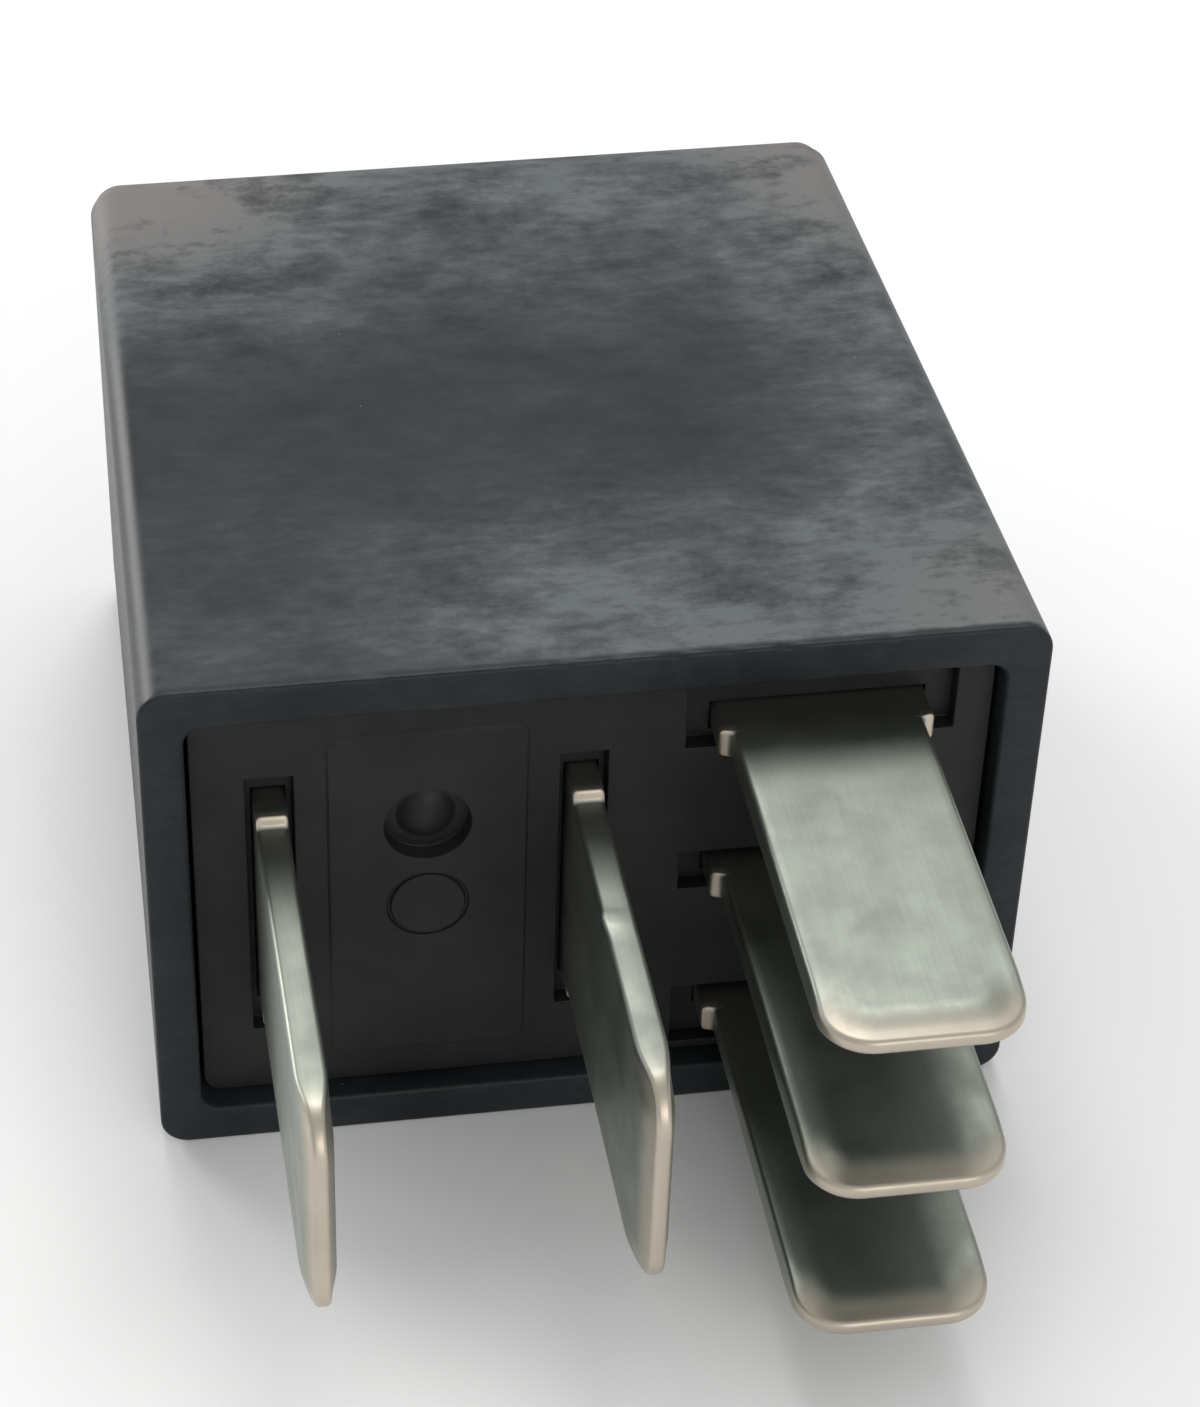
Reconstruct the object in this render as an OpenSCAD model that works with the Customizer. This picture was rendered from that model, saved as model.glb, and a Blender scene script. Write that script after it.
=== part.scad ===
// Micro relay for a vehicle fuse box, with one change-over contact.
// Each piece is drawn upright: x runs across the relay, y through its depth, and z up from the rim
// of the cover to its closed end, so that the blades lie below zero. laid_down() then turns each
// piece on to the large face that the relay rests on.

/* [Cover] */
// Width of the cover at its rim
cover_w = 22.5; // [21.8:0.1:24]
// Depth of the cover at its rim
cover_d = 14.8; // [14.4:0.1:16]
// Height of the cover from its rim to its closed end
cover_h = 25.2; // [23:0.1:28]
// How far each side leans in between the rim and the closed end
cover_draft = 0.4; // [0.1:0.05:0.5]
// Thickness of the side walls
cover_wall = 1.1; // [0.9:0.05:1.2]
// Thickness of the closed end
cover_end = 1.1; // [0.9:0.05:1.4]
// Radius of the upright corners at the rim
rim_corner_r = 0.75; // [0.4:0.05:1.1]
// Radius of the upright corners at the closed end
end_corner_r = 0.8; // [0.7:0.05:1.2]
// Radius that rounds the edge of the closed end
end_edge_r = 0.4; // [0.3:0.05:0.6]
// Length of the shallow bevel that leads into the rounded edge
end_bevel_l = 0.4; // [0.3:0.05:1]
// How far the shallow bevel leans in over its length
end_bevel_in = 0.1; // [0.05:0.05:0.2]
// Radius of the cavity's upright corners
cavity_corner_r = 0.5; // [0.2:0.05:0.8]

/* [Base] */
// How far the base lies inside the rim
base_recess = 0.6; // [0.3:0.05:0.8]
// Thickness of the base plate
base_t = 2.8; // [2.6:0.1:3.4]
// Gap between the base and the cover
base_fit = 0.06; // [0.03:0.01:0.12]
// Gap between a blade and the sides of its slot
slot_fit = 0.03; // [0.01:0.01:0.05]
// Depth of the well round each blade root
well_depth = 0.5; // [0.2:0.05:0.6]
// Space between a blade root's faces and its well
well_side = 0.2; // [0.15:0.05:0.4]
// Space between a blade root's edges and its well
well_end = 0.7; // [0.3:0.05:0.9]
// Wall left between the wells of the outer stacked blades and the side of the base
well_edge = 0.24; // [0.2:0.02:0.4]
// Height of the flat pad between the two power blades
pad_t = 0.07; // [0.05:0.01:0.2]
// Width of the flat pad
pad_w = 5; // [4:0.1:5.4]
// Length of the flat pad
pad_l = 10.4; // [9:0.1:11]
// Radius of the flat pad's corners
pad_corner_r = 0.3; // [0.2:0.05:0.6]
// Radius of the vent recess
vent_r = 1.1; // [0.8:0.05:1.3]
// Depth of the vent recess
vent_depth = 0.5; // [0.4:0.05:0.7]
// Radius of the dome in the vent recess
vent_dome_r = 0.75; // [0.4:0.05:0.8]
// Height of the dome in the vent recess
vent_dome_h = 0.3; // [0.15:0.05:0.35]
// Distance of the vent from the middle of the depth
vent_y = 2.3; // [2:0.1:3]
// Distance of the ring-shaped mould mark from the middle of the depth
mark_y = 0.3; // [0.1:0.05:0.5]
// Radius of the ring-shaped mould mark
mark_r = 1.05; // [0.7:0.05:1.2]
// Width and depth of the ring-shaped mould mark
mark_groove = 0.1; // [0.05:0.01:0.15]
// How far the latch nubs stand out of the narrow sides
latch_out = 0.25; // [0.15:0.05:0.35]
// Length of each latch nub
latch_l = 6; // [4:0.5:8]
// Height of each latch nub
latch_h = 0.8; // [0.6:0.1:1]
// Distance of the latch nubs below the upper side of the base
latch_down = 0.3; // [0.2:0.05:0.5]
// Gap round a latch nub in its groove
latch_fit = 0.08; // [0.05:0.01:0.12]
// Width of the two rails that carry the yoke
rail_w = 1; // [0.8:0.1:1.4]
// Height of the wall between the two risers
divider_h = 2.5; // [2:0.1:4]
// Gap between that wall and each riser
divider_gap = 0.3; // [0.2:0.05:0.4]

/* [Blades] */
// Thickness of the sheet that the terminals are cut from
sheet_t = 0.8; // [0.7:0.05:0.9]
// Width of the two power blades
power_blade_w = 6.3; // [5.8:0.1:6.5]
// Width of the three stacked blades
stack_blade_w = 4.8; // [4.4:0.1:5]
// How far the power blades reach below the rim
power_reach = 10.9; // [9:0.1:11.3]
// How far the stacked blades reach below the rim
stack_reach = 11.3; // [11.3:0.1:13]
// Extra width of a blade's root on each side
root_extra = 0.3; // [0.15:0.05:0.35]
// How far the wide root reaches below the rim
root_reach = 0.1; // [0:0.05:0.3]
// Radius of a blade tip's two corners
tip_corner_r = 1.2; // [0.6:0.1:1.5]
// Length of the bevel at a blade's tip
tip_bevel_l = 0.9; // [0.4:0.1:1.5]
// How much the bevel takes off each face at the tip
tip_bevel_t = 0.2; // [0.1:0.02:0.3]
// Place of blade 30 across the relay
blade_30_x = -8.08; // [-8.2:0.02:-8]
// Place of blade 87 across the relay
blade_87_x = -0.22; // [-0.6:0.02:0]
// Place of the stacked blades across the relay
stack_x = 5.7; // [5.6:0.02:5.8]
// Distance from one stacked blade to the next
stack_pitch = 4.6; // [4.4:0.05:4.8]
// Inner radius of the folds in the terminals
bend_r = 0.3; // [0.2:0.05:0.4]
// Extra room in the base round a fold
fold_room = 0.1; // [0.05:0.01:0.15]
// Plastic between a well and the fold of terminal 87a
fold_cover = 0.3; // [0.2:0.05:0.5]
// Margin of a contact tab round its contact
tab_margin = 0.2; // [0.1:0.05:0.3]
// Width of the risers that carry the fixed contacts
riser_w = 2.4; // [2:0.1:2.6]
// Distance of each riser from the middle of the depth
riser_off = 1; // [0.9:0.05:1.2]
// Room between the risers and the cover at the closed end
riser_room = 0.55; // [0.45:0.05:0.65]
// Width of the posts that the coil leads are soldered to
post_w = 1; // [0.8:0.1:1.2]
// Height of the posts above the base
post_h = 4.6; // [4.2:0.1:5.2]
// How far the foot of a post reaches into the base
post_foot = 1; // [0.8:0.1:1.4]
// Distance of a post from the middle of its blade
post_off = 0.2; // [0:0.05:0.4]
// How far the tab of terminal 30 reaches under the yoke
tab_30_l = 4; // [3.6:0.1:4.2]
// Distance of the two stakes from the end of that tab
stake_margin = 1.4; // [1.2:0.1:1.8]

/* [Magnet] */
// Thickness of the yoke's iron
yoke_t = 1.2; // [1:0.05:1.3]
// How far the sides of the yoke lie inside the bobbin's flanges
yoke_inset = 0.3; // [0.2:0.05:0.6]
// Inner radius of the yoke's bend
yoke_bend_r = 0.4; // [0.2:0.05:0.6]
// How far the yoke's foot reaches beyond the core's middle
yoke_foot = 3; // [2.6:0.1:3.6]
// Radius of the two stakes that join the yoke to terminal 30
stake_r = 0.65; // [0.5:0.05:0.75]
// Distance between the two stakes
stake_pitch = 3.6; // [3:0.1:4]
// Radius of the core
core_r = 2.25; // [2:0.05:2.3]
// Radius of the core's neck in the yoke
core_neck_r = 1.75; // [1.5:0.05:1.9]
// Radius of the pole head
pole_r = 4; // [3.5:0.1:4.4]
// Thickness of the pole head
pole_t = 1; // [0.8:0.05:1.2]
// Space between the bobbin's flanges and the riveted tail of the lower fixed contact
flange_space = 0.8; // [0.6:0.1:1.2]
// Gap between the bobbin's flanges and the sides of the cover
flange_gap = 0.3; // [0.25:0.05:0.6]
// Radius of the flanges' corners
flange_corner_r = 1; // [0.6:0.1:1.4]
// Thickness of the bobbin's flanges
flange_t = 0.8; // [0.6:0.05:1]
// Wall of the bobbin's barrel
barrel_wall = 0.7; // [0.5:0.05:0.9]
// Radius of the notches that the coil leads pass
notch_r = 0.5; // [0.4:0.05:0.6]
// Distance of each notch from the side of the flange
notch_in = 2; // [1.6:0.1:2.4]
// How far the winding stays inside the flanges
winding_inset = 0.4; // [0.3:0.05:0.6]
// Radius that rounds the ends of the winding
winding_edge_r = 0.3; // [0.2:0.05:0.5]
// Radius of a coil lead
lead_r = 0.15; // [0.1:0.01:0.2]
// Height above the lower flange at which the coil leads leave the winding
lead_up = 1.4; // [1:0.1:1.6]
// Radius of a solder joint
solder_r = 0.85; // [0.75:0.05:0.9]

/* [Armature and contacts] */
// Angle through which the armature tips
travel = 2; // [1.6:0.1:2.4]
// Thickness of the armature
armature_t = 1.2; // [1:0.05:1.3]
// How far the sides of the armature lie inside those of the yoke
armature_inset = 0.5; // [0.3:0.05:0.8]
// Depth of the armature at its free end
armature_end_d = 6; // [5:0.1:7]
// How far the armature reaches beyond the pole head
armature_over = 0.6; // [0.3:0.1:0.8]
// How far the armature's heel lies inside the yoke's outer face
heel_in = 0.15; // [0.05:0.05:0.3]
// Radius of the armature's heel
heel_r = 0.5; // [0.3:0.05:0.6]
// Thickness of the contact spring
spring_t = 0.25; // [0.2:0.01:0.3]
// Depth of the contact spring at the hinge
spring_d = 7.2; // [6.8:0.1:7.6]
// Depth of the window in the spring's bend
spring_window_d = 2.8; // [2:0.1:3]
// How far the window reaches down the leg and along the blade
spring_window_l = 1.8; // [1.4:0.1:2.2]
// Radius of the spring round the moving contact
spring_tip_r = 1.7; // [1.6:0.05:1.8]
// Inner radius of the spring's bend
spring_bend_r = 0.6; // [0.5:0.05:0.8]
// Length of the spring's leg on the yoke
spring_leg = 7; // [6.6:0.1:8]
// Height of the yoke's rivets above the end of the spring's leg
leg_rivet_up = 2.2; // [1.8:0.1:2.6]
// Radius of the spring's rivets
rivet_r = 0.7; // [0.5:0.05:0.8]
// Radius of the heads of the spring's rivets
rivet_head_r = 1.1; // [1:0.05:1.3]
// Thickness of the heads of the spring's rivets
rivet_head_t = 0.35; // [0.25:0.05:0.4]
// Distance between the two rivets of a pair
rivet_pitch = 4.6; // [4.2:0.1:4.8]
// Radius of the moving contact's heads
contact_r = 1.5; // [1.3:0.05:1.6]
// Extra radius of the fixed contacts' heads
fixed_extra_r = 0.1; // [0:0.05:0.15]
// Thickness of the moving contact's heads
moving_head_t = 0.6; // [0.5:0.05:0.7]
// Thickness of the fixed contacts' heads
fixed_head_t = 0.5; // [0.4:0.05:0.6]
// Radius of the contacts' shanks
contact_shank_r = 0.8; // [0.6:0.05:0.9]
// Radius of the sphere that crowns a moving contact head
contact_crown_r = 6; // [4:0.5:9]
// Height of the riveted tail of a fixed contact
contact_tail_t = 0.3; // [0.2:0.05:0.35]
// Extra radius of that tail round the shank
contact_tail_extra = 0.4; // [0.3:0.05:0.5]

/* [Clearances] */
// Gap between the armature and what stops it
stop_gap = 0.03; // [0.02:0.01:0.05]
// Gap between a shank and its hole
hole_fit = 0.02; // [0.01:0.01:0.04]
// Gap between the bobbin and the iron round it
bobbin_fit = 0.05; // [0.03:0.01:0.08]
// Gap between the pieces inside and the cover
wall_gap = 0.3; // [0.2:0.05:0.4]

/* [Hidden] */
$fn = 64;
eps = 0.01;
plastic_black = [0.17, 0.18, 0.2];
base_black = [0.12, 0.12, 0.13];
tinned = [0.72, 0.73, 0.7];
iron = [0.55, 0.57, 0.6];
spring_bronze = [0.8, 0.62, 0.4];
copper = [0.72, 0.38, 0.22];
contact_silver = [0.86, 0.86, 0.88];
bobbin_white = [0.88, 0.87, 0.82];

// Lean of the cover's sides at a height, and half the width and depth of its cavity there
function lean(z) = cover_draft * z / cover_h;
function cavity_x(z) = cover_w / 2 - cover_wall - lean(z);
function cavity_y(z) = cover_d / 2 - cover_wall - lean(z);

// Heights, from the base up
base_top = base_recess + base_t;
well_floor = base_recess + well_depth;
yoke_z = base_top + sheet_t;
cavity_top = cover_h - cover_end;
nc_tab_top = cavity_top - wall_gap - contact_tail_t;
nc_tab_z = nc_tab_top - sheet_t / 2;
nc_face_z = nc_tab_top - sheet_t - fixed_head_t;

// Places across the relay
yoke_x = -(cavity_x(cavity_top) - wall_gap - rivet_head_t - spring_t);
riser_x = cavity_x(cavity_top) - riser_room - sheet_t / 2;
contact_x = riser_x - sheet_t / 2 - wall_gap - spring_tip_r;
flange_x = yoke_x + yoke_t + bobbin_fit;
flange_w = contact_x - contact_shank_r - contact_tail_extra - flange_space - flange_x;
core_x = flange_x + flange_w / 2;
tab_x = contact_x - contact_r - tab_margin;

// The hinge line is the yoke's outer top edge. Its height follows from the closed contact: with the
// armature released, the crown of the moving contact lies one stop gap under the fixed one.
contact_arm = contact_x - yoke_x;
spring_h = stop_gap + armature_t;
moving_top_h = spring_h + spring_t + moving_head_t;
crown_h = moving_top_h - contact_crown_r;
pivot_z = nc_face_z - stop_gap - contact_crown_r - crown_h * cos(travel) - contact_arm * sin(travel);
no_face_z = pivot_z + spring_h - moving_head_t - stop_gap;
no_tab_z = no_face_z - fixed_head_t - sheet_t / 2;
pole_z = pivot_z - pole_t;
bobbin_z = yoke_z + yoke_t;
bobbin_top = pole_z - bobbin_fit;
flange_d = 2 * (cavity_y(bobbin_top) - flange_gap);
winding_r = min(flange_w, flange_d) / 2 - winding_inset;
yoke_d = flange_d - 2 * yoke_inset;
armature_d = yoke_d - 2 * armature_inset;
strip_z = well_floor + bend_r + sheet_t;

// The relay's box is centred on the origin from blade tips to closed end, and rests on z = 0.
laid_shift = (max(power_reach, stack_reach) - cover_h) / 2;

module laid_down() {
    translate([0, laid_shift, cover_d / 2]) rotate([-90, 0, 0]) children();
}

// ---- helpers ----

// A box between two corners
module block(low, high) {
    translate(low) cube(high - low);
}

// A flat outline in x and z, drawn through the depth from y0 to y1
module through_depth(y0, y1) {
    translate([0, y1, 0]) rotate([90, 0, 0]) linear_extrude(y1 - y0) children();
}

// A flat outline in y and z, drawn across the relay from x0 to x1
module across(x0, x1) {
    translate([x0, 0, 0]) rotate([90, 0, 90]) linear_extrude(x1 - x0) children();
}

// A rectangle with round corners, centred
module round_plate(w, d, r, t) {
    linear_extrude(t) union() {
        square([w - 2 * r, d], center = true);
        square([w, d - 2 * r], center = true);
        for (x = [-1, 1], y = [-1, 1])
            translate([x * (w / 2 - r), y * (d / 2 - r)]) circle(r);
    }
}

function unit(v) = v / norm(v);
function left_of(v) = [-v.y, v.x];
function turn(u, v) = atan2(u.x * v.y - u.y * v.x, u * v);

// The side view of a folded sheet: straight runs along the middle line p, of thickness t, with
// round bends of inner radius r between them
module folded_sheet(p, t, r) {
    mid_r = r + t / 2;
    last = len(p) - 1;
    function cut(i) = i == 0 || i == last ? 0
        : mid_r * tan(abs(turn(p[i] - p[i - 1], p[i + 1] - p[i])) / 2);
    for (i = [0:last - 1]) {
        u = unit(p[i + 1] - p[i]);
        run = norm(p[i + 1] - p[i]) - cut(i) - cut(i + 1);
        translate(p[i] + u * cut(i)) rotate(atan2(u.y, u.x)) translate([0, -t / 2]) square([run, t]);
    }
    for (i = [1:last - 1]) {
        u = unit(p[i] - p[i - 1]);
        v = unit(p[i + 1] - p[i]);
        side = sign(turn(u, v));
        middle = p[i] - u * cut(i) + side * left_of(u) * mid_r;
        reach = 2 * (r + t);
        translate(middle) intersection() {
            difference() {
                circle(r + t);
                circle(r);
            }
            polygon([[0, 0], -side * left_of(u) * reach, 2 * (p[i] - middle), -side * left_of(v) * reach]);
        }
    }
}

// One ring of points round a rectangle with round corners, and the solid between such rings
function ring(w, d, r, z, n = 8) = [
    for (q = [0:3], i = [0:n])
        let (a = 90 * (q + i / n), sx = q == 0 || q == 3 ? 1 : -1, sy = q < 2 ? 1 : -1)
            [sx * (w / 2 - r) + r * cos(a), sy * (d / 2 - r) + r * sin(a), z]
];

module loft(rings) {
    n = len(rings[0]);
    last = len(rings) - 1;
    sides = [
        for (k = [0:last - 1], i = [0:n - 1])
            let (a = k * n + i, b = k * n + (i + 1) % n)
                each [[a, a + n, b + n], [a, b + n, b]]
    ];
    bottom = [for (i = [0:n - 1]) i];
    top = [for (i = [n - 1:-1:0]) last * n + i];
    polyhedron([for (one = rings) each one], concat([bottom], sides, [top]));
}

// ---- housing ----

// A ring of the cover's outside: the corner radius grows towards the closed end, and shrinks again
// with what the rounded edge takes off
function cover_ring(z, bevel, edge) =
    let (inset = lean(z) + bevel + edge, r = rim_corner_r + (end_corner_r - rim_corner_r) * z / cover_h)
        ring(cover_w - 2 * inset, cover_d - 2 * inset, r - edge, z);

module cover() {
    edge_z = cover_h - end_edge_r;
    steps = 6;
    color(plastic_black) laid_down() difference() {
        loft(concat(
            [cover_ring(0, 0, 0), cover_ring(edge_z - end_bevel_l, 0, 0)],
            [for (i = [0:steps])
                let (a = 90 * i / steps)
                    cover_ring(edge_z + end_edge_r * sin(a), end_bevel_in, end_edge_r * (1 - cos(a)))]
        ));
        loft([for (z = [-eps, cavity_top]) ring(2 * cavity_x(z), 2 * cavity_y(z), cavity_corner_r, z)]);
        for (s = [-1, 1])
            scale([s, 1, 1]) block(
                [cavity_x(0) - cover_wall / 2, -latch_l / 2 - latch_fit, latch_z - latch_fit],
                [base_x + latch_out + latch_fit, latch_l / 2 + latch_fit, latch_z + latch_h + latch_fit]);
    }
}

base_x = cavity_x(base_top) - base_fit;
base_y = cavity_y(base_top) - base_fit;
latch_z = base_top - latch_h - latch_down;
pad_x = (blade_30_x + blade_87_x) / 2;
dome_sphere_r = (vent_dome_r * vent_dome_r + vent_dome_h * vent_dome_h) / (2 * vent_dome_h);

// A slot through the base round a piece of sheet, from height z0 up
module slot(low, high) {
    fit = [slot_fit, slot_fit, 0];
    block(low - fit, high + fit);
}

// The well round a blade root that stretches w across and d through the depth. The wells of the outer
// stacked blades, on the side s, reach to the well's edge.
module well(x, y, w, d, s = 0) {
    edge = base_y - well_edge;
    margin = w > d ? [well_end, well_side] : [well_side, well_end];
    low = y - d / 2 - margin.y;
    high = y + d / 2 + margin.y;
    block([x - w / 2 - margin.x, s < 0 ? -edge : low, 0], [x + w / 2 + margin.x, s > 0 ? edge : high, well_floor]);
}

module base() {
    root_p = power_blade_w / 2 + root_extra;
    root_s = stack_blade_w / 2 + root_extra;
    t = sheet_t / 2;
    above = base_top + eps;
    relief = bend_r + fold_room;
    color(base_black) laid_down() {
        difference() {
            union() {
                translate([0, 0, base_recess]) round_plate(2 * base_x, 2 * base_y, cavity_corner_r, base_t);
                translate([pad_x, 0, base_recess - pad_t]) round_plate(pad_w, pad_l, pad_corner_r, base_t);
                for (s = [-1, 1])
                    scale([s, 1, 1]) through_depth(-latch_l / 2, latch_l / 2)
                        polygon([[base_x - eps, latch_z], [base_x + latch_out, latch_z],
                            [base_x, latch_z + latch_h], [base_x - eps, latch_z + latch_h]]);
                // Rails that carry the yoke beside the tab of terminal 30
                for (s = [-1, 1])
                    scale([1, s, 1]) block([yoke_x + yoke_t, yoke_d / 2 - rail_w, base_top - eps],
                        [core_x + yoke_foot, yoke_d / 2, yoke_z]);
                // Wall between the two risers
                block([riser_x - t, divider_gap - riser_off, base_top - eps],
                      [base_x, riser_off - divider_gap, base_top + divider_h]);
            }
            // Blade 30, with room for its fold
            slot([blade_30_x - t, -root_p, 0], [blade_30_x + t, root_p, above]);
            block([blade_30_x, -root_p - slot_fit, base_top - relief],
                  [blade_30_x + t + relief, root_p + slot_fit, above]);
            // Blade 87, with the channel of its cross strip
            slot([blade_87_x - t, -root_p, 0], [blade_87_x + t, root_p, above]);
            slot([blade_87_x, -root_p, strip_z - t], [riser_x + t, -riser_off, above]);
            block([blade_87_x, -root_p - slot_fit, strip_z - t - relief],
                  [blade_87_x + t + relief, -riser_off + slot_fit, above]);
            // Blade 87a, with the fold that leads to its riser
            slot([stack_x - root_s, -t, 0], [stack_x + root_s, t, above]);
            slot([stack_x, -t, fold_z], [riser_x + t, t, above]);
            slot([riser_x - t, -t, fold_z], [riser_x + t, riser_off + riser_w, above]);
            block([riser_x - t - relief, 0, fold_z - eps], [riser_x, t + relief, above]);
            // The two coil blades, with their posts
            for (s = [-1, 1]) {
                slot([stack_x - root_s, s * stack_pitch - t, 0], [stack_x + root_s, s * stack_pitch + t, post_z]);
                slot([post_x - post_w / 2, s * stack_pitch - t, 0], [post_x + post_w / 2, s * stack_pitch + t, above]);
                well(stack_x, s * stack_pitch, 2 * root_s, sheet_t, s);
            }
            well(stack_x, 0, 2 * root_s, sheet_t);
            for (x = [blade_30_x, blade_87_x])
                well(x, 0, sheet_t, 2 * root_p);
            // Vent recess, and the ring left by an ejector pin
            translate([pad_x, -vent_y, -eps]) cylinder(h = base_recess - pad_t + vent_depth + eps, r = vent_r);
            translate([pad_x, mark_y, 0]) difference() {
                cylinder(h = base_recess - pad_t + mark_groove, r = mark_r);
                translate([0, 0, -eps]) cylinder(h = base_top, r = mark_r - mark_groove);
            }
        }
        // Dome in the vent recess
        translate([pad_x, -vent_y, base_recess - pad_t + vent_depth]) intersection() {
            translate([0, 0, dome_sphere_r - vent_dome_h]) sphere(dome_sphere_r);
            translate([0, 0, -vent_dome_h]) cylinder(h = vent_dome_h + eps, r = vent_dome_r);
        }
    }
}

// ---- terminals ----

fold_z = well_floor + fold_cover;
post_x = stack_x + post_off;
post_z = base_top - post_foot;
tab_reach = contact_r + tab_margin;

// The side view of a blade's root and tip, thinned towards the tip by its two bevels
module blade_section(reach, top) {
    t = sheet_t / 2;
    polygon([[-t, top], [-t, tip_bevel_l - reach], [tip_bevel_t - t, -reach],
        [t - tip_bevel_t, -reach], [t, tip_bevel_l - reach], [t, top]]);
}

// The front view of a blade, with round tip corners and the wider root that fills its slot
module blade_front(w, reach, top) {
    translate([-w / 2, tip_corner_r - reach]) square([w, reach]);
    translate([tip_corner_r - w / 2, -reach]) square([w - 2 * tip_corner_r, reach]);
    for (s = [-1, 1])
        translate([s * (w / 2 - tip_corner_r), tip_corner_r - reach]) circle(tip_corner_r);
    translate([-w / 2 - root_extra, -root_reach]) square([w + 2 * root_extra, top + root_reach]);
}

// A power blade stands edge-on: its width runs through the depth
module power_blade(x, top) {
    intersection() {
        across(x - sheet_t, x + sheet_t) blade_front(power_blade_w, power_reach, top);
        translate([x, 0, 0]) through_depth(-power_blade_w, power_blade_w) blade_section(power_reach, top);
    }
}

// A stacked blade lies flat: its width runs across the relay
module stacked_blade(y, top) {
    intersection() {
        translate([stack_x, 0, 0]) through_depth(y - sheet_t, y + sheet_t)
            blade_front(stack_blade_w, stack_reach, top);
        translate([0, y, 0]) across(stack_x - stack_blade_w, stack_x + stack_blade_w)
            blade_section(stack_reach, top);
    }
}

module terminal_30() {
    tab_z = base_top + sheet_t / 2;
    tab_y = power_blade_w / 2;
    color(tinned) laid_down() difference() {
        union() {
            power_blade(blade_30_x, tab_z - sheet_t / 2 - bend_r);
            through_depth(-tab_y, tab_y)
                folded_sheet([[blade_30_x, 0], [blade_30_x, tab_z], [blade_30_x + tab_30_l, tab_z]], sheet_t, bend_r);
        }
        stakes(hole_fit, eps);
    }
}

// Terminal 87 folds into a strip through the base, rises beside the coil and folds back over it
module terminal_87() {
    t = sheet_t / 2;
    outer = riser_off + riser_w;
    color(tinned) laid_down() difference() {
        union() {
            power_blade(blade_87_x, strip_z - t - bend_r);
            intersection() {
                through_depth(-outer, tab_reach)
                    folded_sheet([[blade_87_x, 0], [blade_87_x, strip_z], [riser_x, strip_z],
                        [riser_x, no_tab_z], [tab_x, no_tab_z]], sheet_t, bend_r);
                union() {
                    block([blade_87_x - t, -power_blade_w / 2, 0], [riser_x - t, -riser_off, strip_z + t]);
                    block([riser_x - t - bend_r, -outer, 0], [riser_x + t, -riser_off, no_tab_z + t]);
                    block([tab_x, -outer, no_tab_z - t], [contact_x + tab_reach, tab_reach, no_tab_z + t]);
                }
            }
        }
        translate([contact_x, 0, no_tab_z - sheet_t]) cylinder(h = 2 * sheet_t, r = contact_shank_r + hole_fit);
    }
}

// Terminal 87a folds sideways in the base, rises on the other side and folds back above the first
module terminal_87a() {
    t = sheet_t / 2;
    outer = riser_off + riser_w;
    color(tinned) laid_down() difference() {
        union() {
            stacked_blade(0, base_top);
            translate([0, 0, fold_z]) linear_extrude(base_top - fold_z)
                folded_sheet([[stack_x, 0], [riser_x, 0], [riser_x, outer]], sheet_t, bend_r);
            intersection() {
                through_depth(-tab_reach, outer)
                    folded_sheet([[riser_x, fold_z], [riser_x, nc_tab_z], [tab_x, nc_tab_z]], sheet_t, bend_r);
                union() {
                    block([riser_x - t - bend_r, riser_off, fold_z], [riser_x + t, outer, nc_tab_z + t]);
                    block([tab_x, -tab_reach, nc_tab_z - t], [contact_x + tab_reach, outer, nc_tab_z + t]);
                }
            }
        }
        translate([contact_x, 0, nc_tab_z - sheet_t]) cylinder(h = 2 * sheet_t, r = contact_shank_r + hole_fit);
    }
}

// A coil blade ends in a narrow post above the base
module coil_terminal(y) {
    color(tinned) laid_down() {
        stacked_blade(y, post_z);
        block([post_x - post_w / 2, y - sheet_t / 2, post_z - eps],
              [post_x + post_w / 2, y + sheet_t / 2, base_top + post_h]);
    }
}

module terminal_86() { coil_terminal(-stack_pitch); }
module terminal_85() { coil_terminal(stack_pitch); }

// ---- magnet ----

// Stakes under the yoke's foot, or with play their holes in the tab of terminal 30
module stakes(play, over) {
    for (s = [-1, 1])
        translate([blade_30_x + tab_30_l - stake_margin, s * stake_pitch / 2, base_top - over])
            cylinder(h = sheet_t + over + eps, r = stake_r + play);
}

// The line of each rivet that holds the spring on the yoke, pointing away from the yoke
module at_yoke_rivets() {
    for (s = [-1, 1])
        translate([yoke_x, s * rivet_pitch / 2, pivot_z - spring_leg + leg_rivet_up]) rotate([0, -90, 0]) children();
}

// The place of each rivet that holds the spring on the armature, in the attracted position
module at_armature_rivets() {
    for (s = [-1, 1])
        translate([core_x - pole_r / 2, s * rivet_pitch / 2, pivot_z + stop_gap]) children();
}

module yoke() {
    middle = yoke_t / 2;
    color(iron) laid_down() {
        difference() {
            through_depth(-yoke_d / 2, yoke_d / 2)
                folded_sheet([[core_x + yoke_foot, yoke_z + middle], [yoke_x + middle, yoke_z + middle],
                    [yoke_x + middle, pivot_z]], yoke_t, yoke_bend_r);
            translate([core_x, 0, yoke_z - eps]) cylinder(h = yoke_t + 2 * eps, r = core_neck_r + hole_fit);
            at_yoke_rivets() translate([0, 0, -yoke_t - eps]) cylinder(h = yoke_t + 2 * eps, r = rivet_r + hole_fit);
        }
        stakes(0, 0);
    }
}

module core() {
    color(iron) laid_down() translate([core_x, 0, 0]) {
        translate([0, 0, yoke_z]) cylinder(h = yoke_t + eps, r = core_neck_r);
        translate([0, 0, bobbin_z]) cylinder(h = pole_z - bobbin_z + eps, r = core_r);
        translate([0, 0, pole_z]) cylinder(h = pole_t, r = pole_r);
    }
}

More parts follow.
